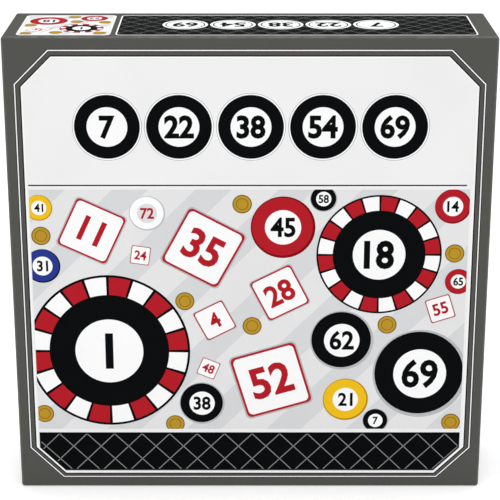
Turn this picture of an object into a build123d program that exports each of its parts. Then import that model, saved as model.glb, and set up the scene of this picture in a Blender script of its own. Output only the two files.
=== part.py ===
from build123d import *
import math
import os

# Boxed bingo game, standing on one narrow side with its printed lid facing -Y.
# Millimetres. The origin is under the middle of the closed box, +Z is up.
# A place across the depth is counted from the back face of the box, towards the lid.

# The closed box
box_side = 267.0
box_depth = 65.0

# Grey board walls wrapped in printed paper
wall = 1.7
corner_radius = 1.8
edge_radius = 1.2
rim_radius = 0.5
lid_fit = 0.5
lid_reveal = 1.0
rim_gap = 0.3

# Gaps between the things inside
seat_gap = 0.3
stack_gap = 0.1
board_fit = 4.6
headroom = 0.8
overrun = 5.0

# Folded card insert: one strip, creased lengthways, the same section all along X
insert_card = 0.8
insert_fit = 0.4
channel_fit = 0.6
well_slack = 3.0
ridge_width = 16.0
shelf_width = 20.0

# Playing cards, in two stacks side by side that fill the well
card_side_gap = 8.6
card_thickness = 1.0
card_corner = 4.0
cards_per_stack = 6

# Marker chips, in rolls
chip_diameter = 17.5
chip_thickness = 1.5
chip_rim = 1.3
chip_recess = 0.25
chip_edge = 0.2
chip_gap = 0.1
chips_per_roll = 40
rolls_per_channel = 2
roll_gap = 1.0

# Board on which the numbers called are marked
calling_width = 104.0
calling_thickness = 1.8
calling_corner = 3.0

# Rules leaflet: one sheet folded once
leaflet_width = 130.0
leaflet_height = 180.0
leaflet_paper = 0.15
leaflet_fold = 0.3

# Spinner board
dial_board_thickness = 1.8
dial_board_corner = 3.0
eyelet_hole_fit = 0.05

# Tubular eyelet that holds the arrow
eyelet_radius = 2.0
eyelet_bore = 1.35
eyelet_back_radius = 4.4
eyelet_back_thickness = 0.3
eyelet_roll_radius = 3.5
eyelet_roll_height = 0.6

# Washer under the arrow
washer_radius = 6.5
washer_thickness = 0.5
washer_fit = 0.15

# Arrow
arrow_tip_reach = 100.0
arrow_tail_reach = 61.0
arrow_bar_width = 7.5
arrow_bar_thickness = 2.2
arrow_hub_radius = 8.6
arrow_hub_height = 3.0
arrow_boss_radius = 5.2
arrow_shoulder_reach = 17.0
arrow_tail_radius = 5.0
arrow_head_length = 22.0
arrow_head_width = 15.0
arrow_head_sweep = 4.0
arrow_rib_width = 1.8
arrow_rib_height = 0.4
arrow_rib_margin = 6.0
arrow_corner = 1.5
arrow_edge = 0.35
arrow_running_fit = 0.08
arrow_end_play = 0.15
arrow_rest_angle = 12.0

os.makedirs("parts", exist_ok=True)

# Sizes that follow
lid_inside = box_side - 2 * wall
base_side = lid_inside - 2 * lid_fit
base_inside = base_side - 2 * wall
base_depth = box_depth - wall - rim_gap
insert_side = base_inside - 2 * insert_fit
channel_width = chip_diameter + 2 * channel_fit
channel_depth = chip_diameter + channel_fit
well_width = insert_side - 2 * (shelf_width + channel_width + ridge_width)
card_height = well_width - well_slack
card_width = insert_side / 2 - 2 * card_side_gap
board_side = base_inside - 2 * board_fit
leaflet_thickness = 2 * leaflet_paper + leaflet_fold

# Layers, from the lid back to the floor of the base
eyelet_front = box_depth - wall - headroom
hub_front = eyelet_front - eyelet_roll_height - arrow_end_play
hub_back = hub_front - arrow_hub_height
washer_back = hub_back - arrow_end_play - washer_thickness
dial_front = washer_back - stack_gap
dial_back = dial_front - dial_board_thickness
eyelet_back = dial_back - eyelet_back_thickness
leaflet_back = eyelet_back - stack_gap - leaflet_thickness
calling_back = leaflet_back - stack_gap - calling_thickness
platform_front = calling_back - stack_gap
insert_back = wall + stack_gap
well_floor = insert_back + insert_card
channel_floor = platform_front - channel_depth

# Places up the face, from the middle of the box, with everything sunk to the lower side
floor_side = -base_inside / 2
insert_low = floor_side + insert_fit
channel_low = insert_low + shelf_width
ridge_low = channel_low + channel_width
well_low = ridge_low + ridge_width
well_high = well_low + well_width
channel_high = well_high + ridge_width
shelf_high = channel_high + channel_width
card_middle = well_low + seat_gap + card_height / 2
calling_middle = floor_side + seat_gap + board_side / 2
dial_middle = floor_side + seat_gap + board_side / 2
stack_middle = insert_side / 4

back_face = Plane(
    origin=(0, box_depth / 2, box_side / 2), x_dir=(1, 0, 0), z_dir=(0, -1, 0)
)
front_face = Plane(
    origin=(0, -box_depth / 2, box_side / 2), x_dir=(-1, 0, 0), z_dir=(0, 1, 0)
)


# Open tray of wrapped board, its face on face_plane and its rim depth away from it
def make_tray(face_plane, side, depth):
    with BuildPart() as tray:
        with BuildSketch(face_plane):
            RectangleRounded(side, side, corner_radius)
        extrude(amount=depth)
        away = Axis(face_plane.origin, face_plane.z_dir)
        fillet(tray.faces().sort_by(away)[0].edges(), edge_radius)
        with BuildSketch(face_plane.offset(wall)):
            Rectangle(side - 2 * wall, side - 2 * wall)
        extrude(amount=depth, mode=Mode.SUBTRACT)
        fillet(tray.faces().sort_by(away)[-1].edges(), rim_radius)
    return tray.part


lid = make_tray(front_face, box_side, box_depth - lid_reveal)
lid.label = "lid"
export_step(lid, "parts/lid.step")

base = make_tray(back_face, base_side, base_depth)
base.label = "base"
export_step(base, "parts/base.step")


# Insert: legs, shelves, two chip channels and the card well between them.
# Its walls in order up the face: the place of each and the depth of its foot
insert_walls = (
    (insert_low, insert_back),
    (channel_low, channel_floor),
    (ridge_low, channel_floor),
    (well_low, well_floor),
    (well_high, well_floor),
    (channel_high, channel_floor),
    (shelf_high, channel_floor),
    (-insert_low, insert_back),
)
section_plane = Plane(
    origin=(-insert_side / 2, box_depth / 2, box_side / 2), x_dir=(0, 0, 1), z_dir=(1, 0, 0)
)
front_line = []
back_line = []
for n, (place, foot) in enumerate(insert_walls):
    rising = n % 2 == 0
    run = (foot, platform_front) if rising else (platform_front, foot)
    behind = place + insert_card if rising else place - insert_card
    front_line += [(place, depth) for depth in run]
    back_line += [(behind, max(depth - insert_card, insert_back)) for depth in run]
with BuildPart() as insert:
    with BuildSketch(section_plane):
        with BuildLine():
            Polyline(*front_line, *reversed(back_line), close=True)
        make_face()
    extrude(amount=insert_side)
insert.part.label = "insert"
export_step(insert.part, "parts/insert.step")


# Chip with a raised rim on both faces, its axis along X
with BuildPart() as chip:
    with BuildSketch(Plane.XY):
        with BuildLine():
            Polyline(
                (chip_recess, 0),
                (chip_recess, chip_diameter / 2 - chip_rim),
                (0, chip_diameter / 2 - chip_rim),
                (0, chip_diameter / 2),
                (chip_thickness, chip_diameter / 2),
                (chip_thickness, chip_diameter / 2 - chip_rim),
                (chip_thickness - chip_recess, chip_diameter / 2 - chip_rim),
                (chip_thickness - chip_recess, 0),
                close=True,
            )
        make_face()
    revolve(axis=Axis.X)
    rim_edges = chip.edges().filter_by(GeomType.CIRCLE).group_by(SortBy.RADIUS)[-1]
    fillet(rim_edges, chip_edge)


# Roll of chips lying along a channel
def make_roll(first_left, channel_start):
    across = box_depth / 2 - channel_floor - seat_gap - chip_diameter / 2
    up = box_side / 2 + channel_start + seat_gap + chip_diameter / 2
    places = [
        (first_left + n * (chip_thickness + chip_gap), across, up) for n in range(chips_per_roll)
    ]
    with BuildPart() as roll:
        with Locations(*places):
            add(chip.part)
    return roll.part


roll_length = chips_per_roll * (chip_thickness + chip_gap)
for channel_name, channel_start in (("lower", channel_low), ("upper", channel_high)):
    for n in range(rolls_per_channel):
        roll_left = seat_gap - insert_side / 2 + n * (roll_length + roll_gap)
        roll = make_roll(roll_left, channel_start)
        roll.label = f"chip_roll_{channel_name}_{n + 1}"
        export_step(roll, f"parts/{roll.label}.step")


# Playing cards
for level in range(cards_per_stack):
    card_back = well_floor + stack_gap + level * (card_thickness + stack_gap)
    for stack_name, stack_place in (("left", -stack_middle), ("right", stack_middle)):
        with BuildPart() as card:
            with BuildSketch(back_face.offset(card_back)):
                with Locations((stack_place, card_middle)):
                    RectangleRounded(card_width, card_height, card_corner)
            extrude(amount=card_thickness)
        card.part.label = f"card_{stack_name}_{level + 1}"
        export_step(card.part, f"parts/{card.part.label}.step")


# Calling board
with BuildPart() as calling_board:
    with BuildSketch(back_face.offset(calling_back)):
        with Locations((0, calling_middle)):
            RectangleRounded(calling_width, board_side, calling_corner)
    extrude(amount=calling_thickness)
calling_board.part.label = "calling_board"
export_step(calling_board.part, "parts/calling_board.step")


# Leaflet: two leaves joined along a round fold at the left
leaf_middle = leaflet_back + leaflet_thickness / 2
leaf_plane = Plane(
    origin=(-leaflet_width / 2, box_depth / 2 - leaf_middle, box_side / 2), z_dir=(0, 0, 1)
)
with BuildPart() as leaflet:
    with BuildSketch(leaf_plane):
        with Locations((leaflet_thickness / 2, 0)):
            Circle(leaflet_thickness / 2)
            Rectangle(
                leaflet_width - leaflet_thickness / 2,
                leaflet_thickness,
                align=(Align.MIN, Align.CENTER),
            )
            Circle(leaflet_fold / 2, mode=Mode.SUBTRACT)
            Rectangle(
                leaflet_width, leaflet_fold, align=(Align.MIN, Align.CENTER), mode=Mode.SUBTRACT
            )
    extrude(amount=leaflet_height / 2, both=True)
leaflet.part.label = "rules_leaflet"
export_step(leaflet.part, "parts/rules_leaflet.step")


# Spinner board, with the hole for its eyelet
with BuildPart() as dial_board:
    with BuildSketch(back_face.offset(dial_back)):
        with Locations((0, dial_middle)):
            RectangleRounded(board_side, board_side, dial_board_corner)
            Circle(eyelet_radius + eyelet_hole_fit, mode=Mode.SUBTRACT)
    extrude(amount=dial_board_thickness)
dial_board.part.label = "spinner_board"
export_step(dial_board.part, "parts/spinner_board.step")


# Eyelet: flange behind the board, barrel, and rolled rim over the arrow's hub
eyelet_plane = Plane(
    origin=(0, box_depth / 2, box_side / 2 + dial_middle), x_dir=(1, 0, 0), z_dir=(0, 0, 1)
)
with BuildPart() as eyelet:
    with BuildSketch(eyelet_plane):
        with BuildLine():
            Polyline(
                (eyelet_bore, -eyelet_back),
                (eyelet_back_radius, -eyelet_back),
                (eyelet_back_radius, -dial_back),
                (eyelet_radius, -dial_back),
                (eyelet_radius, -eyelet_front + eyelet_roll_height),
                (eyelet_roll_radius, -eyelet_front + eyelet_roll_height),
                (eyelet_roll_radius, -eyelet_front),
                (eyelet_bore, -eyelet_front),
                close=True,
            )
        make_face()
    revolve(axis=Axis(eyelet_plane.origin, (0, 1, 0)))
    fillet(
        eyelet.faces().sort_by(Axis.Y)[0].edges().sort_by(SortBy.RADIUS)[-1],
        eyelet_roll_height / 2,
    )
eyelet.part.label = "spinner_eyelet"
export_step(eyelet.part, "parts/spinner_eyelet.step")


# Washer between the board and the arrow
with BuildPart() as washer:
    with BuildSketch(back_face.offset(washer_back)):
        with Locations((0, dial_middle)):
            Circle(washer_radius)
            Circle(eyelet_radius + washer_fit, mode=Mode.SUBTRACT)
    extrude(amount=washer_thickness)
washer.part.label = "spinner_washer"
export_step(washer.part, "parts/spinner_washer.step")


# Arrow: bar with a swollen hub, a round tail and a pointed head
rest_turn = math.radians(arrow_rest_angle)
arrow_plane = Plane(
    origin=(0, box_depth / 2 - hub_back, box_side / 2 + dial_middle),
    x_dir=(math.cos(rest_turn), 0, math.sin(rest_turn)),
    z_dir=(0, -1, 0),
)
bar_edge = arrow_bar_width / 2
head_back = arrow_tip_reach - arrow_head_length
tail_middle = arrow_tail_reach - arrow_tail_radius
tail_join = tail_middle - (arrow_tail_radius**2 - bar_edge**2) ** 0.5
shoulder_length = (arrow_shoulder_reach**2 + bar_edge**2) ** 0.5
hub_turn = math.atan2(bar_edge, arrow_shoulder_reach) + math.acos(
    arrow_hub_radius / shoulder_length
)
hub_meets = (arrow_hub_radius * math.cos(hub_turn), arrow_hub_radius * math.sin(hub_turn))
with BuildPart() as arrow:
    with BuildSketch(arrow_plane) as outline:
        with BuildLine():
            Polyline(
                (arrow_tip_reach, 0),
                (head_back - arrow_head_sweep, arrow_head_width / 2),
                (head_back, bar_edge),
                (arrow_shoulder_reach, bar_edge),
                hub_meets,
            )
            ThreePointArc(hub_meets, (0, arrow_hub_radius), (-hub_meets[0], hub_meets[1]))
            Polyline(
                (-hub_meets[0], hub_meets[1]),
                (-arrow_shoulder_reach, bar_edge),
                (-tail_join, bar_edge),
            )
            ThreePointArc(
                (-tail_join, bar_edge),
                (-tail_middle, arrow_tail_radius),
                (-arrow_tail_reach, 0),
            )
            mirror(about=Plane.XZ)
        make_face()
        on_bar = outline.vertices().filter_by(lambda v: round(abs(v.Y) / bar_edge, 3) == 1)
        fillet(on_bar, arrow_corner)
    extrude(amount=arrow_bar_thickness)
    fillet(arrow.faces().sort_by(Axis.Y)[0].edges(), arrow_edge)
    with BuildSketch(arrow_plane.offset(arrow_bar_thickness - arrow_edge)):
        with Locations((arrow_rib_margin - tail_middle, 0)):
            Rectangle(
                tail_middle + head_back - 2 * arrow_rib_margin,
                arrow_rib_width,
                align=(Align.MIN, Align.CENTER),
            )
    extrude(amount=arrow_rib_height + arrow_edge)
    with BuildSketch(arrow_plane.offset(arrow_bar_thickness - arrow_edge)):
        Circle(arrow_boss_radius)
    extrude(amount=arrow_hub_height - arrow_bar_thickness + arrow_edge)
    fillet(arrow.faces().sort_by(Axis.Y)[0].edges(), arrow_edge)
    with BuildSketch(arrow_plane.offset(-overrun)):
        Circle(eyelet_radius + arrow_running_fit)
    extrude(amount=arrow_hub_height + 2 * overrun, mode=Mode.SUBTRACT)
arrow.part.label = "spinner_arrow"
export_step(arrow.part, "parts/spinner_arrow.step")
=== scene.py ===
import math
import random
from types import SimpleNamespace as Look

import bpy
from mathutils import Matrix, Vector


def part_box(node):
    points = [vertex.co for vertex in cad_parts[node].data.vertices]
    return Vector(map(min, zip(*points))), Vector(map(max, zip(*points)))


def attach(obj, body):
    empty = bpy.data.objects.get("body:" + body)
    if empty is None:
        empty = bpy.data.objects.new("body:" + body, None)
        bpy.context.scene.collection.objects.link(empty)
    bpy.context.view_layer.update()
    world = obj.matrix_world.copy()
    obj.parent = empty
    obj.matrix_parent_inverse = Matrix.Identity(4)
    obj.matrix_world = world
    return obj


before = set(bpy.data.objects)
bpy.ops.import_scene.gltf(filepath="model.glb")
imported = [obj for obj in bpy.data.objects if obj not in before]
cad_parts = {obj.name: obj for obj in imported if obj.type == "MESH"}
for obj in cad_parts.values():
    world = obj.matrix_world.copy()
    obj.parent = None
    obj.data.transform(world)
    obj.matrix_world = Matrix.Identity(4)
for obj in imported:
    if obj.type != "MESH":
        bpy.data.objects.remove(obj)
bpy.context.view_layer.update()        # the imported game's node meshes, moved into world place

mm = 0.001
inkStep = 0.000009       # each ink layer stands this far off the one under it
lidLow, lidHigh = (Vector(corner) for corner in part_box("lid"))
baseLow, baseHigh = (Vector(corner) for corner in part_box("base"))
halfSide = (lidHigh.x - lidLow.x) / 2 / mm
midHeight = (lidLow.z + lidHigh.z) / 2
columns = 5              # of numbers in the game, each with a mark of its own
perColumn = 15
numberStep = 4           # from one number to the next in a column
pictureStep = 17         # and from one to the next in a picture
thinWeight, plainWeight, heavyWeight = 0.02, 0.028, 0.036    # of the numerals' strokes

# colours as they read on the print, and one painted highlight colour for the box's outer edges
tints = {
    "borderGrey": "#555552",
    # painted highlight: the paler colour painted along the box's outer edges
    "edgeHighlightGrey": "#74746e",
    "inkBlack": "#0d0f10",
    "inkWhite": "#fafafa",
    "panelWhite": "#efefef",
    "latticeGrey": "#8d8d8d",
    "softGrey": "#b9babd",
    "stripeGrey": "#d6d7d9",
    "groundGrey": "#e4e4e5",
    "ballRed": "#b3202a",
    "deepRed": "#7f1219",
    "ballYellow": "#f0c020",
    "deepYellow": "#b98d14",
    "amber": "#b9922e",
    "deepAmber": "#6e5419",
    "ballBlue": "#2a3a8e",
    "cardRed": "#c01f35",
    "cardWhite": "#f1f1f0",
    "cellGrey": "#dcdddf",
    "callGrey": "#d9d9dc",
}


def colour(hexText):
    channels = [int(hexText[i:i + 2], 16) / 255 for i in (1, 3, 5)]
    return tuple(c / 12.92 if c < 0.04045 else ((c + 0.055) / 1.055) ** 2.4 for c in channels)


def addObject(name, data):
    item = bpy.data.objects.new(name, data)
    bpy.context.scene.collection.objects.link(item)
    return item


# Node helpers
def newMaterial(name):
    material = bpy.data.materials.new(name)
    material.use_nodes = True
    tree = material.node_tree
    tree.nodes.clear()
    output = tree.nodes.new("ShaderNodeOutputMaterial")
    shader = tree.nodes.new("ShaderNodeBsdfPrincipled")
    tree.links.new(shader.outputs[0], output.inputs[0])
    return material, tree, shader


def feed(tree, socket, value):
    if hasattr(value, "is_linked"):
        tree.links.new(value, socket)
    else:
        socket.default_value = value


def setInputs(node, values):
    for name, value in values.items():
        node.inputs[name].default_value = value


def sums(tree, operation, first, second=0.0, clamp=False):
    node = tree.nodes.new("ShaderNodeMath")
    node.operation = operation
    node.use_clamp = clamp
    feed(tree, node.inputs[0], first)
    feed(tree, node.inputs[1], second)
    return node.outputs[0]


def noise(tree, place, scale, detail):
    node = tree.nodes.new("ShaderNodeTexNoise")
    tree.links.new(place, node.inputs["Vector"])
    setInputs(node, {"Scale": scale, "Detail": detail})
    return node.outputs[0]


def ranged(tree, value, low, high, newLow, newHigh, smooth=False):
    node = tree.nodes.new("ShaderNodeMapRange")
    if smooth:
        node.interpolation_type = "SMOOTHSTEP"
    for socket, entry in zip(node.inputs, (value, low, high, newLow, newHigh)):
        feed(tree, socket, entry)
    return node.outputs[0]


def blendColour(tree, factor, first, second):
    node = tree.nodes.new("ShaderNodeMix")
    node.data_type = "RGBA"
    feed(tree, node.inputs[0], factor)
    feed(tree, node.inputs[6], first)
    feed(tree, node.inputs[7], second)
    return node.outputs[2]


def objectPlace(tree):
    return tree.nodes.new("ShaderNodeTexCoord").outputs["Object"]


def split(tree, vector):
    node = tree.nodes.new("ShaderNodeSeparateXYZ")
    tree.links.new(vector, node.inputs[0])
    return node.outputs


def toned(tree, base, tone):
    node = tree.nodes.new("ShaderNodeVectorMath")
    node.operation = "SCALE"
    feed(tree, node.inputs[0], base)
    feed(tree, node.inputs["Scale"], tone)
    return node.outputs[0]


def bumped(tree, shader, height, strength, distance):
    node = tree.nodes.new("ShaderNodeBump")
    setInputs(node, {"Strength": strength, "Distance": distance})
    tree.links.new(height, node.inputs["Height"])
    tree.links.new(node.outputs[0], shader.inputs["Normal"])


def specks(tree, place, look):
    # noise of a scale and detail, spread from its own range to a new one
    scale, detail, low, high, least, most = look
    return ranged(tree, noise(tree, place, scale, detail), low, high, least, most)


# Matt laminate; grain, cloud and fibre are each a noise's scale and detail
paperLook = Look(
    shine=0.0012, grain=(2400, 3), cloud=(22, 2), low=0.3, high=0.7,
    glossSpread=0.05, fibre=(1500, 3), fibreDepth=0.08 * mm,
)


def paperSurface(tree, shader, place, base, look):
    # ink on coated paper: faint mottle, uneven gloss and a fine grain
    roughness, mottle = look.roughness, look.mottle
    low, high, spread = paperLook.low, paperLook.high, paperLook.glossSpread
    grain = noise(tree, place, *paperLook.grain)
    cloud = noise(tree, place, *paperLook.cloud)
    halves = [sums(tree, "MULTIPLY", part, 0.5) for part in (grain, cloud)]
    tone = ranged(tree, sums(tree, "ADD", *halves), low, high, 1 - mottle, 1 + mottle)
    tree.links.new(toned(tree, base, tone), shader.inputs["Base Color"])
    gloss = ranged(tree, cloud, low, high, roughness - spread, roughness + spread)
    tree.links.new(gloss, shader.inputs["Roughness"])
    fibre = noise(tree, place, *paperLook.fibre)
    bumped(tree, shader, fibre, look.fibre, paperLook.fibreDepth)
    setInputs(shader, {"Specular IOR Level": paperLook.shine})


inkLook = Look(roughness=0.38, mottle=0.03, fibre=0.08)
leafletLook = Look(tint="#efeee9", roughness=0.6, mottle=0.03, fibre=0.2)


def printedInk(name, hexText, look):
    material, tree, shader = newMaterial(name)
    paperSurface(tree, shader, objectPlace(tree), colour(hexText), look)
    return material


inks = {name: printedInk(name, hexText, inkLook) for name, hexText in tints.items()}


# Wrapped board tray: printed outside, plain board inside, paper turned in over the rim
trayLook = Look(
    wallDepth=1.5 * mm, turnIn=15 * mm,
    # painted highlight along the outer edges: the band's width and edge, and the noise that
    # breaks it up
    wearWidth=1.5 * mm, wearEdge=0.2 * mm, wear=(160, 4, 0.35, 0.62, 0.35, 1.0),
    insideTint="#b4b0a6", insideFlecks=(900, 5, 0.35, 0.7, 0.82, 1.08),
    roughness=0.4, mottle=0.03, fibre=0.1,
)


def trayMaterial(name, low, high, facesFront):
    look = trayLook
    material, tree, shader = newMaterial(name)
    place = objectPlace(tree)
    x, y, z = split(tree, place)
    across = sums(tree, "ABSOLUTE", x)
    upright = sums(tree, "ABSOLUTE", sums(tree, "SUBTRACT", z, (low.z + high.z) / 2))
    half = (high.x - low.x) / 2
    wall = look.wallDepth
    inSides = sums(tree, "LESS_THAN", sums(tree, "MAXIMUM", across, upright), half - wall)
    if facesFront:
        fromFace = sums(tree, "SUBTRACT", y, low.y)
    else:
        fromFace = sums(tree, "SUBTRACT", high.y, y)
    depth = high.y - low.y
    inside = sums(tree, "MULTIPLY", inSides, sums(tree, "GREATER_THAN", fromFace, wall))
    plain = sums(tree, "LESS_THAN", fromFace, depth - look.turnIn)
    bare = sums(tree, "MULTIPLY", inside, plain)

    # painted highlight: the paper is painted paler along the outer edges, broken up by noise
    wear, edge = look.wearWidth, look.wearEdge
    nearSide = ranged(tree, across, half - wear, half - edge, 0, 1, True)
    nearTop = ranged(tree, upright, half - wear, half - edge, 0, 1, True)
    nearFace = ranged(tree, fromFace, wear, edge, 0, 1, True)
    highlightMask = sums(tree, "MULTIPLY", nearSide, nearTop)
    highlightMask = sums(tree, "MAXIMUM", highlightMask, sums(tree, "MULTIPLY", nearSide, nearFace))
    highlightMask = sums(tree, "MAXIMUM", highlightMask, sums(tree, "MULTIPLY", nearTop, nearFace))
    highlightMask = sums(tree, "MULTIPLY", highlightMask, specks(tree, place, look.wear), True)
    outside = blendColour(
        tree, highlightMask, (*colour(tints["borderGrey"]), 1), (*colour(tints["edgeHighlightGrey"]), 1)
    )
    board = toned(tree, colour(look.insideTint), specks(tree, place, look.insideFlecks))
    base = blendColour(tree, bare, outside, board)
    paperSurface(tree, shader, place, base, look)
    return material


def dress(nodeName, material):
    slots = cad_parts[nodeName].data.materials
    slots.clear()
    slots.append(material)


dress("lid", trayMaterial("lidWrap", lidLow, lidHigh, True))
dress("base", trayMaterial("baseWrap", baseLow, baseHigh, False))
print("stage: box materials")


# Board whose cut edges show its grey core
boardLook = Look(
    cardEdge="#a8a49b", boardEdge="#8f8b82", dialTint="#dededf",
    flecks=(1400, 4, 0.35, 0.7, 0.8, 1.1), flatFrom=0.7,
    roughness=0.42, mottle=0.03, fibre=0.12,
)


def coredBoard(name, faceTint, edgeTint):
    look = boardLook
    material, tree, shader = newMaterial(name)
    place = objectPlace(tree)
    facing = split(tree, tree.nodes.new("ShaderNodeNewGeometry").outputs["Normal"])[1]
    flat = sums(tree, "GREATER_THAN", sums(tree, "ABSOLUTE", facing), look.flatFrom)
    core = toned(tree, colour(edgeTint), specks(tree, place, look.flecks))
    base = blendColour(tree, flat, core, (*colour(faceTint), 1))
    paperSurface(tree, shader, place, base, look)
    return material


# Uncoated fibre: the insert's card and the washer
insertLook = Look(
    tint="#c9c3b6", flecks=(700, 6, 0.35, 0.7, 0.88, 1.06),
    roughness=0.68, mottle=0.04, fibre=0.3,
)
washerLook = Look(
    tint="#cfcabb", flecks=(2000, 5, 0.3, 0.7, 0.82, 1.05),
    roughness=0.7, mottle=0.04, fibre=0.25,
)


def fleckedFibre(name, look):
    material, tree, shader = newMaterial(name)
    place = objectPlace(tree)
    base = toned(tree, colour(look.tint), specks(tree, place, look.flecks))
    paperSurface(tree, shader, place, base, look)
    return material


# Moulded plastic and the eyelet's brass, each with an uneven colour and gloss
amberLook = Look(
    tint=(0.92, 0.52, 0.03), swirl=(260, 3, 0.3, 0.7, 0.85, 1.1),
    gloss=(500, 3, 0.3, 0.7, 0.1, 0.22),
    inputs={"Transmission Weight": 0.6, "IOR": 1.49},
)
arrowLook = Look(
    tint=colour("#232f7c"), swirl=(90, 3, 0.3, 0.7, 0.9, 1.12),
    gloss=(800, 3, 0.3, 0.7, 0.26, 0.4),
    grain=(2200, 2), grainStrength=0.08, grainDepth=0.05 * mm, inputs={},
)
eyeletLook = Look(
    tint=(0.80, 0.74, 0.60), swirl=(900, 4, 0.3, 0.7, 0.86, 1.05),
    gloss=(2600, 3, 0.3, 0.7, 0.18, 0.34), inputs={"Metallic": 1.0},
)


def unevenFinish(name, look):
    material, tree, shader = newMaterial(name)
    place = objectPlace(tree)
    base = toned(tree, look.tint, specks(tree, place, look.swirl))
    tree.links.new(base, shader.inputs["Base Color"])
    tree.links.new(specks(tree, place, look.gloss), shader.inputs["Roughness"])
    if hasattr(look, "grain"):
        grain = noise(tree, place, *look.grain)
        bumped(tree, shader, grain, look.grainStrength, look.grainDepth)
    setInputs(shader, look.inputs)
    return material


cardNames = sorted(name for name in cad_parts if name.startswith("card_"))
chipNames = sorted(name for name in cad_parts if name.startswith("chip_roll_"))
cardBoard = coredBoard("cardBoard", tints["cardWhite"], boardLook.cardEdge)
amber = unevenFinish("amberPlastic", amberLook)
for cardName in cardNames:
    dress(cardName, cardBoard)
for chipName in chipNames:
    dress(chipName, amber)
dress("calling_board", coredBoard("callBoard", tints["callGrey"], boardLook.boardEdge))
dress("spinner_board", coredBoard("dialBoard", boardLook.dialTint, boardLook.boardEdge))
dress("insert", fleckedFibre("foldedCard", insertLook))
dress("rules_leaflet", printedInk("leafletPaper", leafletLook.tint, leafletLook))
dress("spinner_arrow", unevenFinish("bluePlastic", arrowLook))
dress("spinner_eyelet", unevenFinish("eyeletMetal", eyeletLook))
dress("spinner_washer", fleckedFibre("fibreWasher", washerLook))
print("stage: inside materials")


# Numerals: one flat shape for each text, from the built-in font made bolder
numeralShapes = {}


def flatText(text, weight):
    curve = bpy.data.curves.new("numeral", "FONT")
    curve.body = text
    curve.offset = weight
    curve.resolution_u = 3
    item = addObject("numeral", curve)
    bpy.context.view_layer.update()
    graph = bpy.context.evaluated_depsgraph_get()
    mesh = bpy.data.meshes.new_from_object(item.evaluated_get(graph))
    points = [(v.co.x, v.co.y) for v in mesh.vertices]
    faces = [tuple(p.vertices) for p in mesh.polygons]
    bpy.data.objects.remove(item)
    bpy.data.curves.remove(curve)
    bpy.data.meshes.remove(mesh)
    return points, faces


def numeral(text, weight):
    if (text, weight) not in numeralShapes:
        points, faces = flatText(text, weight)
        zero = [p[1] for p in flatText("0", weight)[0]]
        tall = max(zero) - min(zero)
        middleY = (max(zero) + min(zero)) / 2
        middleX = (max(p[0] for p in points) + min(p[0] for p in points)) / 2
        points = [((x - middleX) / tall, (y - middleY) / tall) for x, y in points]
        numeralShapes[(text, weight)] = (points, faces)
    return numeralShapes[(text, weight)]


# Outlines in millimetres, anticlockwise
def signedArea(outline):
    pairs = zip(outline, outline[1:] + outline[:1])
    return sum(a[0] * b[1] - b[0] * a[1] for a, b in pairs) / 2


def circle(u, v, radius, steps=48):
    turns = [2 * math.pi * k / steps for k in range(steps)]
    return [(u + radius * math.cos(t), v + radius * math.sin(t)) for t in turns]


def turned(points, u, v, turn):
    # points about the origin, turned and set down at a middle
    c, s = math.cos(turn), math.sin(turn)
    return [(u + c * a - s * b, v + s * a + c * b) for a, b in points]


def rectangle(left, bottom, right, top):
    return [(left, bottom), (right, bottom), (right, top), (left, top)]


def shrunk(span, margin):
    left, bottom, right, top = span
    return left + margin, bottom + margin, right - margin, top - margin


def rounded(left, bottom, right, top, radius, steps=6):
    corners = (
        (right - radius, bottom + radius, -90), (right - radius, top - radius, 0),
        (left + radius, top - radius, 90), (left + radius, bottom + radius, 180),
    )
    outline = []
    for u, v, start in corners:
        for k in range(steps + 1):
            turn = math.radians(start + 90 * k / steps)
            outline.append((u + radius * math.cos(turn), v + radius * math.sin(turn)))
    return outline


def clipped(outline, window):
    # the part of an outline inside a convex window
    for a, b in zip(window, window[1:] + window[:1]):
        def side(p):
            return (b[0] - a[0]) * (p[1] - a[1]) - (b[1] - a[1]) * (p[0] - a[0])
        kept = []
        for p, q in zip(outline, outline[1:] + outline[:1]):
            sp, sq = side(p), side(q)
            if sp >= 0:
                kept.append(p)
            if sp * sq < 0:
                share = sp / (sp - sq)
                kept.append((p[0] + share * (q[0] - p[0]), p[1] + share * (q[1] - p[1])))
        outline = kept
        if len(outline) < 3:
            return []
    return outline


def bar(start, end, width):
    du, dv = end[0] - start[0], end[1] - start[1]
    length = math.hypot(du, dv)
    nu, nv = -dv / length * width / 2, du / length * width / 2
    return [(start[0] - nu, start[1] - nv), (end[0] - nu, end[1] - nv),
            (end[0] + nu, end[1] + nv), (start[0] + nu, start[1] + nv)]


def starOutline(u, v, radius, tips=5, dentShare=0.42):
    outline = []
    for k in range(2 * tips):
        reach = radius if k % 2 == 0 else radius * dentShare
        turn = math.pi / 2 + math.pi * k / tips
        outline.append((u + reach * math.cos(turn), v + reach * math.sin(turn)))
    return outline


# The five column marks, each a share of one radius so that they look alike in size
markLook = Look(disc=0.86, steps=24, square=0.76, foot=(0.95, 0.72), diamond=0.78, star=1.05)


def markOutline(kind, radius):
    # disc, square, triangle, diamond and star
    look = markLook
    if kind == 0:
        return circle(0, 0, radius * look.disc, look.steps)
    if kind == 1:
        side = radius * look.square
        return rectangle(-side, -side, side, side)
    if kind == 2:
        footU, footV = (radius * share for share in look.foot)
        return [(-footU, -footV), (footU, -footV), (0, radius)]
    if kind == 3:
        reach = radius * look.diamond
        return [(0, -radius), (reach, 0), (0, radius), (-reach, 0)]
    return starOutline(0, 0, radius * look.star)


def frontOf(nodeName):
    # the middle of a node's front face, and half its width and height in millimetres
    low, high = (Vector(corner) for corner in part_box(nodeName))
    middle = (low + high) / 2
    halfU, halfV = (high.x - low.x) / 2 / mm, (high.z - low.z) / 2 / mm
    return (middle.x, low.y, middle.z), halfU, halfV


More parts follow.
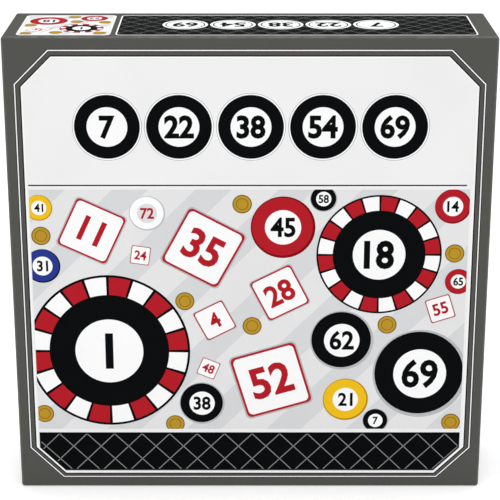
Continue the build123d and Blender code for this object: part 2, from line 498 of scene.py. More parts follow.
# A printed face: shapes in u to the right and v up, in millimetres, on a plane of the game
class Sheet:
    def __init__(self, name, origin, right=(1, 0, 0), up=(0, 0, 1)):
        self.name = name
        self.origin = Vector(origin)
        self.right = Vector(right)
        self.up = Vector(up)
        self.normal = self.right.cross(self.up)
        self.points = []
        self.faces = []
        self.inkOfFace = []
        self.inkNames = []

    def place(self, u, v, level):
        return (self.origin + self.right * (u * mm) + self.up * (v * mm)
                + self.normal * (level * inkStep))

    def inkIndex(self, ink):
        if ink not in self.inkNames:
            self.inkNames.append(ink)
        return self.inkNames.index(ink)

    def shape(self, points, faces, ink, level):
        first = len(self.points)
        self.points += [self.place(u, v, level) for u, v in points]
        for face in faces:
            corners = [points[i] for i in face]
            order = face if signedArea(corners) > 0 else tuple(reversed(face))
            self.faces.append([first + i for i in order])
            self.inkOfFace.append(self.inkIndex(ink))

    def put(self, outline, ink, level):
        if len(outline) > 2:
            self.shape(outline, [tuple(range(len(outline)))], ink, level)

    def ring(self, outer, inner, ink, level):
        count = len(outer)
        faces = [(i, (i + 1) % count, count + (i + 1) % count, count + i) for i in range(count)]
        self.shape(outer + inner, faces, ink, level)

    def hoop(self, u, v, radius, width, ink, level, steps=72):
        self.ring(circle(u, v, radius, steps), circle(u, v, radius - width, steps), ink, level)

    def fan(self, u, v, outline, ink, level):
        # triangles round a middle, for an outline that may bend inwards
        count = len(outline)
        faces = [(count, k, (k + 1) % count) for k in range(count)]
        self.shape(outline + [(u, v)], faces, ink, level)

    def star(self, u, v, radius, ink, level):
        self.fan(u, v, starOutline(u, v, radius), ink, level)

    def mark(self, kind, u, v, radius, ink, level, turn=0.0):
        self.fan(u, v, turned(markOutline(kind, radius), u, v, turn), ink, level)

    def number(self, text, u, v, tall, ink, level, turn=0.0, stretch=1.0, weight=plainWeight):
        points, faces = numeral(text, weight)
        sized = [(x * tall * stretch, y * tall) for x, y in points]
        self.shape(turned(sized, u, v, turn), faces, ink, level)

    def repeat(self, tree, outlines, v, ink, level, values):
        # copies of outlines, round or about the point (0, v)
        values = {**values, "Ink": inks[ink], "Middle": self.place(0, v, level)}
        mesh = repeated(tree, outlines, values)
        first = len(self.points)
        self.points += [vertex.co.copy() for vertex in mesh.vertices]
        for polygon in mesh.polygons:
            self.faces.append([first + i for i in polygon.vertices])
            self.inkOfFace.append(self.inkIndex(ink))

    def grid(self, outlines, v, ink, level, look):
        self.repeat(gridOfPieces, outlines, v, ink, level, {
            "Columns": columns, "Rows": look.rows,
            "PitchX": look.pitchU * mm, "PitchZ": look.pitchV * mm,
        })

    def build(self, body):
        mesh = bpy.data.meshes.new(self.name)
        mesh.from_pydata(self.points, [], self.faces)
        for ink in self.inkNames:
            mesh.materials.append(inks[ink])
        mesh.polygons.foreach_set("material_index", self.inkOfFace)
        mesh.update()
        item = addObject(self.name, mesh)
        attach(item, body)


# Geometry Nodes: copies of one outline round an axis along Y, or over a grid facing -Y
def addInput(tree, name, kind):
    return tree.interface.new_socket(name=name, in_out="INPUT", socket_type=kind)


def startTree(name, extraInputs):
    tree = bpy.data.node_groups.new(name, "GeometryNodeTree")
    tree.interface.new_socket(name="Geometry", in_out="OUTPUT", socket_type="NodeSocketGeometry")
    addInput(tree, "Piece", "NodeSocketObject")
    addInput(tree, "Ink", "NodeSocketMaterial")
    addInput(tree, "Middle", "NodeSocketVector")
    for inputName, kind in extraInputs:
        addInput(tree, inputName, kind)
    entry = tree.nodes.new("NodeGroupInput")
    return tree, entry


def finishTree(tree, entry, points, rotation, instanceNode):
    piece = tree.nodes.new("GeometryNodeObjectInfo")
    tree.links.new(entry.outputs["Piece"], piece.inputs["Object"])
    tree.links.new(points, instanceNode.inputs["Points"])
    tree.links.new(piece.outputs["Geometry"], instanceNode.inputs["Instance"])
    if rotation is not None:
        tree.links.new(rotation, instanceNode.inputs["Rotation"])
    real = tree.nodes.new("GeometryNodeRealizeInstances")
    tree.links.new(instanceNode.outputs[0], real.inputs[0])
    moved = tree.nodes.new("GeometryNodeTransform")
    tree.links.new(real.outputs[0], moved.inputs["Geometry"])
    tree.links.new(entry.outputs["Middle"], moved.inputs["Translation"])
    inked = tree.nodes.new("GeometryNodeSetMaterial")
    tree.links.new(moved.outputs[0], inked.inputs["Geometry"])
    tree.links.new(entry.outputs["Ink"], inked.inputs["Material"])
    leave = tree.nodes.new("NodeGroupOutput")
    tree.links.new(inked.outputs[0], leave.inputs[0])
    return tree


def ringTree():
    tree, entry = startTree("ringOfPieces", (
        ("Count", "NodeSocketInt"), ("Start", "NodeSocketFloat"), ("Turn", "NodeSocketFloat"),
    ))
    line = tree.nodes.new("GeometryNodeMeshLine")
    setInputs(line, {"Offset": (0, 0, 0)})
    tree.links.new(entry.outputs["Count"], line.inputs["Count"])
    index = tree.nodes.new("GeometryNodeInputIndex").outputs[0]
    fromStart = sums(tree, "MULTIPLY", index, entry.outputs["Turn"])
    angle = sums(tree, "ADD", fromStart, entry.outputs["Start"])
    spin = tree.nodes.new("ShaderNodeCombineXYZ")
    tree.links.new(angle, spin.inputs["Y"])
    instances = tree.nodes.new("GeometryNodeInstanceOnPoints")
    return finishTree(tree, entry, line.outputs[0], spin.outputs[0], instances)


def gridTree():
    tree, entry = startTree("gridOfPieces", (
        ("Columns", "NodeSocketInt"), ("Rows", "NodeSocketInt"),
        ("PitchX", "NodeSocketFloat"), ("PitchZ", "NodeSocketFloat"),
    ))
    total = sums(tree, "MULTIPLY", entry.outputs["Columns"], entry.outputs["Rows"])
    line = tree.nodes.new("GeometryNodeMeshLine")
    setInputs(line, {"Offset": (0, 0, 0)})
    tree.links.new(total, line.inputs["Count"])
    index = tree.nodes.new("GeometryNodeInputIndex").outputs[0]
    column = sums(tree, "MODULO", index, entry.outputs["Columns"])
    row = sums(tree, "FLOOR", sums(tree, "DIVIDE", index, entry.outputs["Columns"]))

    def centred(step, count, pitch):
        offset = sums(tree, "MULTIPLY", sums(tree, "SUBTRACT", entry.outputs[count], 1), 0.5)
        return sums(tree, "MULTIPLY", sums(tree, "SUBTRACT", step, offset), entry.outputs[pitch])

    spot = tree.nodes.new("ShaderNodeCombineXYZ")
    tree.links.new(centred(column, "Columns", "PitchX"), spot.inputs["X"])
    tree.links.new(centred(row, "Rows", "PitchZ"), spot.inputs["Z"])
    placed = tree.nodes.new("GeometryNodeSetPosition")
    tree.links.new(line.outputs[0], placed.inputs["Geometry"])
    tree.links.new(spot.outputs[0], placed.inputs["Position"])
    instances = tree.nodes.new("GeometryNodeInstanceOnPoints")
    return finishTree(tree, entry, placed.outputs[0], None, instances)


def pieceOf(outlines):
    # flat outlines about the origin, facing -Y
    points, faces = [], []
    for outline in outlines:
        first = len(points)
        points += [(u * mm, 0, v * mm) for u, v in outline]
        order = range(first, first + len(outline))
        faces.append(list(order) if signedArea(outline) > 0 else list(reversed(order)))
    mesh = bpy.data.meshes.new("piece")
    mesh.from_pydata(points, [], faces)
    return addObject("piece", mesh)


def repeated(tree, outlines, values):
    piece = pieceOf(outlines)
    carrier = addObject("repeat", bpy.data.meshes.new("repeat"))
    modifier = carrier.modifiers.new("repeat", "NODES")
    modifier.node_group = tree
    values = {**values, "Piece": piece}
    for item in tree.interface.items_tree:
        if item.in_out == "INPUT":
            modifier[item.identifier] = values[item.name]
    graph = bpy.context.evaluated_depsgraph_get()
    result = bpy.data.meshes.new_from_object(carrier.evaluated_get(graph))
    bpy.data.objects.remove(carrier)
    bpy.data.objects.remove(piece)
    return result


ringOfPieces = ringTree()
gridOfPieces = gridTree()


# Diagonal lattice inside a convex window; the sums say where a line of each slope lies
def lattice(sheet, window, span, spacing, width, level, downSum=0.0, upSum=0.0):
    left, bottom, right, top = span
    reach = top - bottom
    for step in range(int((right - left + 2 * reach) / spacing) + 2):
        falling = left + bottom - reach + step * spacing
        falling += (downSum - falling) % spacing
        line = bar((falling - top, top), (falling - bottom, bottom), width)
        sheet.put(clipped(line, window), "latticeGrey", level)
        rising = left - top - reach + step * spacing
        rising += (upSum - rising) % spacing
        line = bar((rising + bottom, bottom), (rising + top, top), width)
        sheet.put(clipped(line, window), "latticeGrey", level)


# Flat printed pieces of the pictures: numbered balls, blank discs, tiles and edge-blocked chips
ballLook = Look(
    colourShare=0.94, shift=0.02, faceShare=0.56, digitShare=1.16, stretch=0.92,
)
ballInks = {
    "red": ("deepRed", "ballRed", "inkWhite", "inkBlack"),
    "black": ("softGrey", "inkBlack", "inkWhite", "inkBlack"),
    "yellow": ("deepYellow", "ballYellow", "inkWhite", "inkBlack"),
    "blue": ("inkBlack", "ballBlue", "inkWhite", "inkBlack"),
    "white": ("softGrey", "inkWhite", "cellGrey", "ballRed"),
}
discLook = Look(shares=(1.0, 0.9, 0.62, 0.56), inks=("deepAmber", "amber"), steps=32)
tileLook = Look(
    sideShare=0.74, edgeShare=0.03, frameShare=0.08, cornerShare=0.16,
    digitShare=0.992, stretch=0.95, tilt=0.5, tiltStep=2.3, margin=1,
)
chipLook = Look(
    blocks=20, blockGap=0.06, blockSteps=4, ringShare=0.74, faceShare=0.42,
    lineShare=0.03, rimSteps=80, steps=64, digitShare=1.16, stretch=0.92,
)


def ball(sheet, u, v, radius, kind, text, window, level):
    look = ballLook
    shade, body, face, digit = ballInks[kind]
    sheet.put(clipped(circle(u, v, radius), window), shade, level)
    shift = radius * look.shift
    rim = circle(u - shift, v + shift, radius * look.colourShare)
    sheet.put(clipped(rim, window), body, level + 1)
    reach = radius * look.faceShare
    sheet.put(circle(u, v, reach), face, level + 2)
    tall = reach * look.digitShare
    sheet.number(text, u, v, tall, digit, level + 3, 0, look.stretch)


def blankDisc(sheet, u, v, radius, window, level):
    for k, share in enumerate(discLook.shares):
        ring = circle(u, v, radius * share, discLook.steps)
        sheet.put(clipped(ring, window), discLook.inks[k % 2], level + k)


def tile(sheet, u, v, radius, text, turn, level):
    look = tileLook
    side = radius * look.sideShare
    for share, ink in ((0, "softGrey"), (look.edgeShare, "ballRed"),
                       (look.frameShare, "inkWhite")):
        reach = side - radius * share
        square = rounded(-reach, -reach, reach, reach, reach * look.cornerShare)
        sheet.put(turned(square, u, v, turn), ink, level)
        level += 1
    tall = side * look.digitShare
    sheet.number(text, u, v, tall, "ballRed", level, turn, look.stretch)


def blockedChip(sheet, u, v, radius, text, window, level):
    look = chipLook
    sheet.put(clipped(circle(u, v, radius, look.rimSteps), window), "inkBlack", level)
    outer, inner = radius * (1 - look.lineShare), radius * look.ringShare
    step, parts = 2 * math.pi / look.blocks, look.blockSteps
    for k in range(look.blocks):
        low, high = (k + look.blockGap) * step, (k + 1 - look.blockGap) * step
        turns = [low + (high - low) * n / parts for n in range(parts + 1)]
        block = [(u + outer * math.cos(t), v + outer * math.sin(t)) for t in turns]
        block += [(u + inner * math.cos(t), v + inner * math.sin(t)) for t in reversed(turns)]
        sheet.put(clipped(block, window), ("ballRed", "inkWhite")[k % 2], level + 1)
    sheet.put(clipped(circle(u, v, inner, look.steps), window), "inkBlack", level + 2)
    face = radius * look.faceShare
    sheet.put(circle(u, v, face, look.steps), "inkWhite", level + 3)
    tall = face * look.digitShare
    sheet.number(text, u, v, tall, "inkBlack", level + 4, 0, look.stretch, heavyWeight)


# Scattered layouts: big pieces placed first, smaller ones where there is room
pictureLook = Look(
    ground="groundGrey", stripePitch=46.0, stripeWidth=20.0,
    seed=11, gap=1.3, tries=2500, cropShare=0.6,
    first=(
        (-80.0, -48.0, 46.0, "chip"), (72.0, 10.0, 35.0, "chip"), (-26.0, 14.0, 25.0, "tile"),
        (12.0, -66.0, 27.0, "tile"), (97.0, -62.0, 27.0, "black"), (-88.0, 24.0, 21.0, "tile"),
    ),
    sizes=((18.0, 3), (13.0, 5), (10.0, 8), (7.5, 12), (5.4, 34)),
    kinds=("tile", "red", "black", "tile", "yellow", "black", "tile", "white", "red", "blue"),
)
miniLook = Look(
    ground="panelWhite", stripePitch=22.0, stripeWidth=9.0,
    seed=5, gap=0.6, tries=1500, cropShare=0.6,
    first=((92.0, 11.0, 12.0, "chip"), (112.0, -9.0, 10.5, "red")),
    sizes=((7.5, 4), (5.5, 8), (3.6, 16)),
    kinds=("tile", "red", "yellow", "black", "tile", "white", "blue"),
)


def scatter(span, look):
    left, bottom, right, top = span
    chance = random.Random(look.seed)
    placed = list(look.first)
    count = 0
    for radius, wanted in look.sizes:
        made = 0
        for _ in range(look.tries):
            kind = look.kinds[count % len(look.kinds)]
            if radius == look.sizes[-1][0]:
                kind = "amber"
            if kind == "tile":
                reach = radius + tileLook.margin
            else:
                reach = radius * look.cropShare
            u = chance.uniform(left + reach, right - reach)
            v = chance.uniform(bottom + reach, top - reach)
            clear = all(math.hypot(u - a, v - b) > radius + r + look.gap
                        for a, b, r, _ in placed)
            if clear:
                placed.append((u, v, radius, kind))
                made += 1
                count += 1
            if made == wanted:
                break
    return placed


def picture(sheet, span, look, level):
    left, bottom, right, top = span
    window = rectangle(*span)
    sheet.put(window, look.ground, level)
    reach = top - bottom
    start = left - reach
    while start < right:
        band = [(start, bottom), (start + look.stripeWidth, bottom),
                (start + look.stripeWidth + reach, top), (start + reach, top)]
        sheet.put(clipped(band, window), "stripeGrey", level + 1)
        start += look.stripePitch
    for k, (u, v, radius, kind) in enumerate(scatter(span, look)):
        text = str(k * pictureStep % (columns * perColumn) + 1)
        if kind == "chip":
            blockedChip(sheet, u, v, radius, text, window, level + 2)
        elif kind == "amber":
            blankDisc(sheet, u, v, radius, window, level + 2)
        elif kind == "tile":
            turn = tileLook.tilt * math.sin(k * tileLook.tiltStep)
            tile(sheet, u, v, radius, text, turn, level + 2)
        else:
            ball(sheet, u, v, radius, kind, text, window, level + 2)


# Lid front
lidPrint = Look(
    frameInset=6.4, topExtra=1.15, frameLeg=18.6, legLoss=0.586,
    frameWhite=0.62, frameBlack=1.45,
    bandInset=9.1, panelInset=9.75, panelEdge=0.8, panelDrop=1.0,
    ruleHeight=50.45, ruleWidth=0.75, ruleLeft=-122.0, ruleRight=119.4,
    titleHeight=83.6, titleLeft=-95.7, titleRight=96.8, titleRadius=17.9,
    titleNumbers=("7", "22", "38", "54", "69"),
    picture=(-122.0, -96.6, 121.4, 48.1),
    strip=(-121.9, -123.1, 121.4, -98.8), stripLeg=14.5, stripMargin=1.0,
    latticeSpacing=15.93, latticeWidth=0.5, downSum=-209.9, upSum=-10.6,
)
roundelLook = Look(
    rings=((1.1, "softGrey"), (0.75, "inkWhite"), (0.0, "inkBlack")), faceShare=0.62,
    ringSteps=72, steps=64, digitShare=0.74, stretch=0.95,
)


def chamfered(left, bottom, right, top, leg):
    return [(left + leg, bottom), (right - leg, bottom), (right, bottom + leg),
            (right, top - leg), (right - leg, top), (left + leg, top),
            (left, top - leg), (left, bottom + leg)]


def frameOutline(inset, half=halfSide, topExtra=lidPrint.topExtra, drop=0.0):
    leg = lidPrint.frameLeg - lidPrint.legLoss * (inset - lidPrint.frameInset)
    edge = half - inset
    return chamfered(-edge, -edge - drop, edge, edge - topExtra, leg)


def doubleFrame(sheet, half, topExtra):
    middle = lidPrint.frameInset
    for width, ink, level in ((lidPrint.frameBlack, "inkBlack", 1),
                              (lidPrint.frameWhite, "inkWhite", 2)):
        outer = frameOutline(middle - width / 2, half, topExtra)
        inner = frameOutline(middle + width / 2, half, topExtra)
        sheet.ring(outer, inner, ink, level)


def stripOutline(left, bottom, right, top, leg, margin):
    cut = leg - lidPrint.legLoss * margin
    left, bottom, right, top = shrunk((left, bottom, right, top), margin)
    return [(left + cut, bottom), (right - cut, bottom), (right, bottom + cut), (right, top),
            (left, top), (left, bottom + cut)]


def titlePlaces(look):
    # each title number with the middle of its roundel, spread evenly over the title's width
    texts = lidPrint.titleNumbers
    radius = look.titleRadius
    reach = look.titleRight - look.titleLeft - 2 * radius
    for k, text in enumerate(texts):
        yield text, look.titleLeft + radius + k * reach / (len(texts) - 1)


def roundels(sheet, level):
    look = roundelLook
    radius, v = lidPrint.titleRadius, lidPrint.titleHeight
    for text, u in titlePlaces(lidPrint):
        for k, (extra, ink) in enumerate(look.rings):
            sheet.put(circle(u, v, radius + extra, look.ringSteps), ink, level + k)
        face = circle(u, v, radius * look.faceShare, look.steps)
        sheet.put(face, "inkWhite", level + 3)
        tall = radius * look.digitShare
        sheet.number(text, u, v, tall, "inkBlack", level + 4, 0, look.stretch, heavyWeight)


def makeLidFront():
    look = lidPrint
    sheet = Sheet("lidFrontPrint", (0, lidLow.y, midHeight))
    doubleFrame(sheet, halfSide, look.topExtra)
    inset = look.panelInset
    for step, ink, level in ((look.bandInset, "inkBlack", 1), (inset, "inkWhite", 2),
                             (inset + look.panelEdge, "panelWhite", 3)):
        sheet.put(frameOutline(step, drop=look.panelDrop), ink, level)
    half, height = look.ruleWidth / 2, look.ruleHeight
    rule = rectangle(look.ruleLeft, height - half, look.ruleRight, height + half)
    sheet.put(rule, "inkBlack", 4)
    roundels(sheet, 4)
    picture(sheet, look.picture, pictureLook, 4)
    span = look.strip
    sheet.put(stripOutline(*span, look.stripLeg, 0), "inkBlack", 4)
    window = stripOutline(*span, look.stripLeg, look.stripMargin)
    lattice(sheet, window, span, look.latticeSpacing, look.latticeWidth, 5,
            look.downSum, look.upSum)
    sheet.build("lid")


# Lid sides: up on the print is towards the lid's face
sidePrint = Look(
    mini=(75.2, -25.3, 125.9, 29.1), field=(-122.9, -25.3, 72.4, 29.1),
    corner=3.2, line=0.8, spacing=12.0, latticeWidth=0.3, margin=1.4,
    titleLeft=-82.1, titleRight=48.3, titleHeight=1.0, titleRadius=12.6,
    miniFrame=2.0, halo=0.9, hoopInset=1.6, hoopWidth=0.7, digitShare=0.92, steps=64,
)


def makeLidSide(name, origin, right):
    sheet = Sheet(name, origin, right, (0, -1, 0))
    look = sidePrint
    corner, line = look.corner, look.line
    for span, fill in ((look.mini, "groundGrey"), (look.field, "inkBlack")):
        sheet.put(rounded(*span, corner), "inkWhite", 1)
        sheet.put(rounded(*shrunk(span, line), corner - line), fill, 2)
    picture(sheet, shrunk(look.mini, look.miniFrame), miniLook, 3)
    window = rectangle(*shrunk(look.field, look.margin))
    lattice(sheet, window, look.field, look.spacing, look.latticeWidth, 3)
    radius, v = look.titleRadius, look.titleHeight
    for text, u in titlePlaces(look):
        sheet.put(circle(u, v, radius + look.halo, look.steps), "inkBlack", 4)
        sheet.put(circle(u, v, radius, look.steps), "inkWhite", 5)
        sheet.hoop(u, v, radius - look.hoopInset, look.hoopWidth, "inkBlack", 6)
        tall = radius * look.digitShare
        sheet.number(text, u, v, tall, "inkBlack", 6, 0, roundelLook.stretch, heavyWeight)
    sheet.build("lid")


makeLidFront()
makeLidSide("lidTopPrint", (0, 0, lidHigh.z), (-1, 0, 0))
makeLidSide("lidBottomPrint", (0, 0, lidLow.z), (1, 0, 0))
makeLidSide("lidRightPrint", (lidHigh.x, 0, midHeight), (0, 0, 1))
makeLidSide("lidLeftPrint", (lidLow.x, 0, midHeight), (0, 0, -1))
print("stage: lid print")


# Back of the base: the same double frame round a lattice field
backPrint = Look(panelInset=9.75, fieldInset=13.1, spacing=16.0, width=0.5)


def makeBackPrint():
    half = (baseHigh.x - baseLow.x) / 2 / mm
    sheet = Sheet("baseBackPrint", (0, baseHigh.y, midHeight), (-1, 0, 0))
    doubleFrame(sheet, half, 0)
    inset = backPrint.panelInset
    sheet.put(frameOutline(inset, half, 0), "inkWhite", 1)
    sheet.put(frameOutline(inset + lidPrint.panelEdge, half, 0), "inkBlack", 2)
    window = frameOutline(backPrint.fieldInset, half, 0)
    span = (-half, -half, half, half)
    lattice(sheet, window, span, backPrint.spacing, backPrint.width, 3)
    sheet.build("base")


makeBackPrint()
print("stage: base print")


# Playing cards
cardPrint = Look(
    frameInset=4.5, line=0.35,
    rows=5, pitchU=19.6, pitchV=18.8, gridMiddle=-18.5,
    bevel=3.1, cellLine=0.22, digit=6.6, stretch=1.12, weight=0.045,
    rangeHeight=35.5, rangeDigit=4.2, rangeStretch=1.05, starRadius=5.4,
    headHeight=54.0, markRadius=9.0, ruleBelow=31.0, ruleAbove=40.5,
    cardStep=3, stepGrowth=2, columnStep=5,
)


def cellParts():
    halfU, halfV = cardPrint.pitchU / 2, cardPrint.pitchV / 2
    inU, inV = halfU - cardPrint.bevel, halfV - cardPrint.bevel
    left = [(-halfU, -halfV), (-inU, -inV), (-inU, inV), (-halfU, halfV)]
    low = [(-halfU, -halfV), (halfU, -halfV), (inU, -inV), (-inU, -inV)]
    right = [(halfU, -halfV), (halfU, halfV), (inU, inV), (inU, -inV)]
    top = [(halfU, halfV), (-halfU, halfV), (-inU, inV), (inU, inV)]
    line = cardPrint.cellLine
    span = (-inU, -inV, inU, inV)
    middle, dark = rectangle(*shrunk(span, line)), rectangle(*span)
    seams = [bar((-halfU, -halfV), (-inU, -inV), line), bar((halfU, -halfV), (inU, -inV), line),
             bar((-halfU, halfV), (-inU, inV), line)]
    return (("cardWhite", [left, low], 1), ("cardRed", [right, top], 1),
            ("softGrey", seams, 2), ("inkBlack", [dark], 2), ("cellGrey", [middle], 3))


def cardNumber(card, column, row):
    # the offset differs from card to card, and in each column by another step
    look = cardPrint
    offset = card * (look.cardStep + look.stepGrowth * column) + look.columnStep * column
    return perColumn * column + 1 + (row * numberStep + offset) % perColumn


def makeCardPrint(cardName, cardIndex):
    look = cardPrint
    origin, halfU, halfV = frontOf(cardName)
    sheet = Sheet(cardName + "_print", origin)
    halfU -= look.frameInset
    halfV -= look.frameInset
    line = look.line
    span = (-halfU, -halfV, halfU, halfV)
    sheet.ring(rectangle(*span), rectangle(*shrunk(span, line)), "cardRed", 1)
    for height in (look.ruleBelow, look.ruleAbove):
        sheet.put(rectangle(-halfU, height, halfU, height + line), "cardRed", 1)
    for ink, outlines, level in cellParts():
        sheet.grid(outlines, look.gridMiddle, ink, level, look)
    middleColumn, middleRow = columns // 2, look.rows // 2
    for column in range(columns):
        u = (column - middleColumn) * look.pitchU
        sheet.mark(column, u, look.headHeight, look.markRadius, "cardRed", 1)
        numbers = f"{perColumn * column + 1}–{perColumn * (column + 1)}"
        sheet.number(numbers, u, look.rangeHeight, look.rangeDigit, "cardRed", 1, 0,
                     look.rangeStretch)
        for row in range(look.rows):
            v = look.gridMiddle + (middleRow - row) * look.pitchV
            if column == middleColumn and row == middleRow:
                sheet.star(u, v, look.starRadius, "cardRed", 4)
            else:
                text = str(cardNumber(cardIndex, column, row))
                sheet.number(text, u, v, look.digit, "cardRed", 4, 0, look.stretch,
                             look.weight)
    sheet.build(cardName)


for cardIndex, cardName in enumerate(cardNames):
    makeCardPrint(cardName, cardIndex)
print("stage: playing cards")


# Calling board
callingPrint = Look(rows=perColumn, pitchU=18.0, pitchV=16.0, line=0.5, digit=8.0, stretch=1.05)


def makeCallingPrint():
    look = callingPrint
    sheet = Sheet("callingPrint", frontOf("calling_board")[0])
    halfU, halfV, half = look.pitchU / 2, look.pitchV / 2, look.line / 2
    sides = [rectangle(-halfU - half, -halfV - half, -halfU + half, halfV + half),
             rectangle(halfU - half, -halfV - half, halfU + half, halfV + half)]
    ends = [rectangle(-halfU + half, -halfV - half, halfU - half, -halfV + half),
            rectangle(-halfU + half, halfV - half, halfU - half, halfV + half)]
    for outlines in (sides, ends):
        sheet.grid(outlines, 0, "inkBlack", 1, look)
    for k in range(columns * perColumn):
        row, column = divmod(k, columns)
        u = (column - columns // 2) * look.pitchU
        v = (perColumn // 2 - row) * look.pitchV
        sheet.number(str(k + 1), u, v, look.digit, "inkBlack", 1, 0, look.stretch,
                     thinWeight)
    sheet.build("calling_board")


makeCallingPrint()


# Leaflet: blocks of plain lines where the rules would be, each under a mark and a short bar
leafletPrint = Look(
    margin=10.0, lineHeight=1.1, pitch=3.6, blocks=(14, 12, 16), topGap=4.0,
    markRadius=2.0, headLeft=6.0, headRight=46.0, headHalf=1.0, headPitch=5.0,
    # how far a line stops short: least, step, and the pace and length of the steps' pattern
    ragged=(0.0, 0.75, 3, 4), last=(8.0, 6.0, 7, 5),
)


def makeLeafletPrint():
    look = leafletPrint
    origin, halfU, halfV = frontOf("rules_leaflet")
    sheet = Sheet("leafletPrint", origin)
    halfU -= look.margin
    v = halfV - look.margin - look.topGap
    count = 0
    for lines in look.blocks:
        sheet.mark(3, look.markRadius - halfU, v, look.markRadius, "cardRed", 1)
        head = look.headHalf
        sheet.put(rectangle(look.headLeft - halfU, v - head, look.headRight - halfU,
                            v + head), "inkBlack", 1)
        v -= look.headPitch
        for k in range(lines):
            least, step, pace, turns = look.last if k == lines - 1 else look.ragged
            short = least + step * (count * pace % turns)
            line = rectangle(-halfU, v, halfU - short, v + look.lineHeight)
            sheet.put(line, "softGrey", 1)
            v -= look.pitch
            count += 1
        v -= look.topGap
    sheet.build("rules_leaflet")


makeLeafletPrint()
print("stage: calling board and leaflet")


# Spinner dial
dialPrint = Look(
    radius=118.0, ringInner=0.853, ringMiddle=0.928, disc=0.52, centre=0.207,
    steps=150, discSteps=120, centreSteps=72,
    cells=columns * perColumn, wedgeEvery=3, columnStep=3,
    outline=1.1, line=0.3, digit=4.4, markRadius=2.5,
    discMarks=10, discMarkRadius=11.5, discMarkHole=0.62, discMarkPlace=0.375,
)


def makeDialPrint():
    look = dialPrint
    radius = look.radius
    rim = radius - look.outline
    sheet = Sheet("dialPrint", frontOf("spinner_board")[0])
    sheet.put(circle(0, 0, radius, look.steps), "inkBlack", 1)
    sheet.put(circle(0, 0, rim, look.steps), "cardWhite", 2)
    cellTurn, every = 2 * math.pi / look.cells, look.wedgeEvery
    inner, outer = radius * look.disc, radius * look.ringInner
    ends = [(r * math.cos(t), r * math.sin(t)) for r, t in (
        (inner, -cellTurn / 2), (outer, -cellTurn / 2), (outer, cellTurn / 2),
        (inner, cellTurn / 2))]
    for k, ink in enumerate(("ballRed", "inkBlack")):
        sheet.repeat(ringOfPieces, [ends], 0, ink, 3, {
            "Count": look.cells // every, "Start": k * cellTurn, "Turn": every * cellTurn,
        })
    tick = rectangle(inner, -look.line / 2, rim, look.line / 2)
    sheet.repeat(ringOfPieces, [tick], 0, "inkBlack", 4, {
        "Count": look.cells, "Start": cellTurn / 2, "Turn": cellTurn,
    })
    for share in (look.ringInner, look.ringMiddle):
        sheet.hoop(0, 0, radius * share, look.line, "inkBlack", 5, look.steps)
    sheet.put(circle(0, 0, inner, look.discSteps), "inkBlack", 5)
    sheet.put(circle(0, 0, radius * look.centre, look.centreSteps), "cardWhite", 6)
    place, size = radius * look.discMarkPlace, look.discMarkRadius
    for k in range(look.discMarks):
        upright = 2 * math.pi * k / look.discMarks
        turn = upright + math.pi / 2
        u, v = place * math.cos(turn), place * math.sin(turn)
        sheet.mark(k % columns, u, v, size, "cardWhite", 6, upright)
        sheet.mark(k % columns, u, v, size * look.discMarkHole, "inkBlack", 7, upright)
    numberPlace = radius * (look.ringInner + look.ringMiddle) / 2
    markPlace = (radius * look.ringMiddle + rim) / 2
    for k in range(look.cells):
        turn = math.pi / 2 - k * cellTurn
        row, column = divmod(k, columns)
        offset = look.columnStep * column
        value = perColumn * column + 1 + (row * numberStep + offset) % perColumn
        u, v = math.cos(turn), math.sin(turn)
        upright = turn - math.pi / 2
        sheet.number(str(value), numberPlace * u, numberPlace * v, look.digit, "inkBlack", 6,
                     upright, 1.0, thinWeight)
        sheet.mark(column, markPlace * u, markPlace * v, look.markRadius, "ballRed", 6, upright)
    sheet.build("spinner_board")


makeDialPrint()
print("stage: spinner dial")


# Floor, light and camera
stageLook = Look(
    cameraTarget=135.11 * mm, cameraDistance=978.87 * mm, cameraElevation=19.0876,
    lens=122.01, sensor=36, floorReach=6.0, floorTint="#f6f6f6",
    floorRoughness=0.9, floorShown=0.3, worldStrength=0.53,
    lampTarget=(0, 0, 0.13),
    lamps=(    # name, place, size in metres and watts
        ("key", (-1.3, -2.4, 0.9), 1.8, 17.4),
        ("fill", (2.0, -1.8, 0.6), 1.6, 9.0),
        ("over", (0.1, 0.1, 2.6), 1.8, 38.0),
    ),
)


def shownRays(tree):
    paths = tree.nodes.new("ShaderNodeLightPath")
    shown = sums(tree, "MAXIMUM", paths.outputs["Is Camera Ray"], paths.outputs["Is Glossy Ray"])
    return sums(tree, "MAXIMUM", shown, paths.outputs["Is Transmission Ray"])


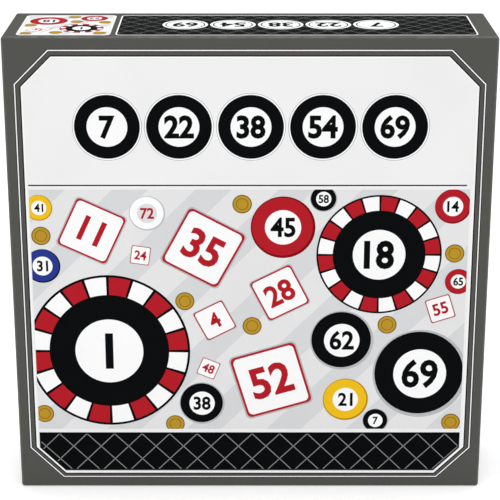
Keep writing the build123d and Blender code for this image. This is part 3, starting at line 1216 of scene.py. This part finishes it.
def makeFloor():
    mesh = bpy.data.meshes.new("floor")
    reach = stageLook.floorReach
    mesh.from_pydata([(-reach, -reach, 0), (reach, -reach, 0), (reach, reach, 0),
                      (-reach, reach, 0)], [], [(0, 1, 2, 3)])
    material, tree, shader = newMaterial("paleFloor")
    setInputs(shader, {
        "Base Color": (*colour(stageLook.floorTint), 1),
        "Roughness": stageLook.floorRoughness,
        "Specular IOR Level": 0.0, "Emission Color": (1, 1, 1, 1),
    })
    shown = sums(tree, "MULTIPLY", shownRays(tree), stageLook.floorShown)
    tree.links.new(shown, shader.inputs["Emission Strength"])
    mesh.materials.append(material)
    floor = addObject("floor", mesh)


def makeWorld():
    world = bpy.data.worlds.new("studio")
    bpy.context.scene.world = world
    world.use_nodes = True
    tree = world.node_tree
    tree.nodes.clear()
    output = tree.nodes.new("ShaderNodeOutputWorld")
    background = tree.nodes.new("ShaderNodeBackground")
    strength = ranged(tree, shownRays(tree), 0, 1, stageLook.worldStrength, 1.0)
    tree.links.new(strength, background.inputs["Strength"])
    setInputs(background, {"Color": (1, 1, 1, 1)})
    tree.links.new(background.outputs[0], output.inputs[0])


def makeLamp(name, place, size, power):
    light = bpy.data.lights.new(name, "AREA")
    light.size = size
    light.energy = power
    lamp = addObject(name, light)
    lamp.location = place
    toTarget = Vector(stageLook.lampTarget) - Vector(place)
    lamp.rotation_euler = toTarget.to_track_quat("-Z", "Y").to_euler()


def makeCamera():
    data = bpy.data.cameras.new("camera")
    data.lens = stageLook.lens
    data.sensor_width = stageLook.sensor
    camera = addObject("camera", data)
    lift = math.radians(stageLook.cameraElevation)
    reach = stageLook.cameraDistance
    height = stageLook.cameraTarget + reach * math.sin(lift)
    camera.location = (0, -reach * math.cos(lift), height)
    camera.rotation_euler = (math.pi / 2 - lift, 0, 0)
    bpy.context.scene.camera = camera


makeFloor()
makeWorld()
for lamp in stageLook.lamps:
    makeLamp(*lamp)
makeCamera()
bpy.context.scene.view_settings.view_transform = "Standard"
print("stage: studio")
